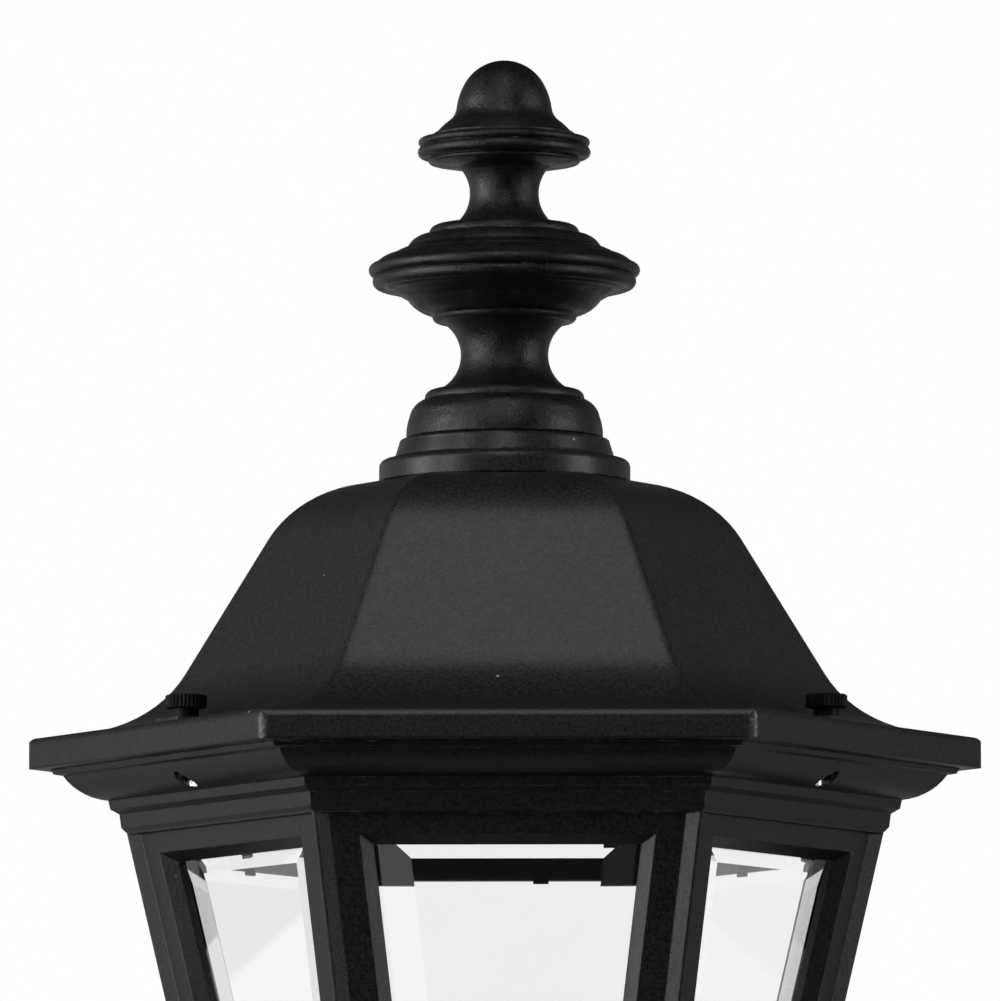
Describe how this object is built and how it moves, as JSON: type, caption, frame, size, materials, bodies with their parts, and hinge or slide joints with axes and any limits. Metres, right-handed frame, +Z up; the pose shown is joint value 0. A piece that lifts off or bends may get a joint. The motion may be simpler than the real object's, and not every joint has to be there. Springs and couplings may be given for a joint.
{
  "type": "wall lantern",
  "caption": "Black six-sided cast lantern on a curved wall arm, with a bell roof held by thumb screws, a turned finial and bevelled clear glass panes around candle lamps.",
  "frame": {"origin": "middle of the back of the wall plate's fixing, on the wall surface", "axes": "+Y into the wall, +Z up along the lantern's axis, +X to the right as seen from the front"},
  "size_m": [0.2992, 0.305, 0.6194],
  "materials": {
    "black_paint": "satin black paint on cast aluminium, bare metal inside the drilled screw holes",
    "black_screw": "black oxide on steel",
    "clear_glass": "clear, polished bevels",
    "dark_spring_steel": "dark satin",
    "plated_steel": "zinc plated",
    "brass": "satin",
    "green_screw": "green paint",
    "holder_plastic": "moulded black phenolic",
    "candle_plastic": "ivory satin",
    "frosted_bulb": "frosted",
    "gasket_rubber": "closed-cell foam"
  },
  "bodies": {
    "lantern": {"arm": "black_paint", "arm_collar": "black_paint", "arm_nut": "plated_steel", "arm_rosette": "black_paint", "base_pan": "black_paint", "base_screws": "plated_steel", "bulb_1": "frosted_bulb", "bulb_2": "frosted_bulb", "bulb_3": "frosted_bulb", "cage": "black_paint", "candle_sleeve_1": "candle_plastic", "candle_sleeve_2": "candle_plastic", "candle_sleeve_3": "candle_plastic", "cap_nuts": "black_screw", "clip_screws": "plated_steel", "earth_screw": "green_screw", "gasket": "gasket_rubber", "glass_back": "clear_glass", "glass_back_left": "clear_glass", "glass_back_right": "clear_glass", "glass_clips": "dark_spring_steel", "glass_front": "clear_glass", "glass_front_left": "clear_glass", "glass_front_right": "clear_glass", "holder_screws": "plated_steel", "lamp_cluster": "brass", "lamp_holder_1": "holder_plastic", "lamp_holder_2": "holder_plastic", "lamp_holder_3": "holder_plastic", "mounting_strap": "plated_steel", "plate_studs": "plated_steel", "stem": "plated_steel", "stem_nut": "plated_steel", "stem_washer": "plated_steel", "wall_plate": "black_paint"},
    "roof": {"roof": "black_paint", "finial": "black_paint", "finial_rod": "plated_steel", "finial_washer": "plated_steel", "finial_nut": "plated_steel"},
    "screw_left": {"thumb_screw_left": "black_screw"},
    "screw_right": {"thumb_screw_right": "black_screw"},
    "screw_back": {"thumb_screw_back": "black_screw"}
  },
  "joints": [
    {"name": "roof_lift", "type": "slide", "parent": "lantern", "child": "roof", "axis": [0, 0, 1], "range_m": [0, 0.15]},
    {"name": "thumb_screw_left_turn", "type": "hinge", "parent": "roof", "child": "screw_left", "pos_m": [-0.09916, -0.23225, 0.2818], "axis": [0, 0, 1], "range_deg": [0, 3240]},
    {"name": "thumb_screw_right_turn", "type": "hinge", "parent": "roof", "child": "screw_right", "pos_m": [0.09916, -0.23225, 0.2818], "axis": [0, 0, 1], "range_deg": [0, 3240]},
    {"name": "thumb_screw_back_turn", "type": "hinge", "parent": "roof", "child": "screw_back", "pos_m": [0, -0.0605, 0.2818], "axis": [0, 0, 1], "range_deg": [0, 3240]}
  ]
}
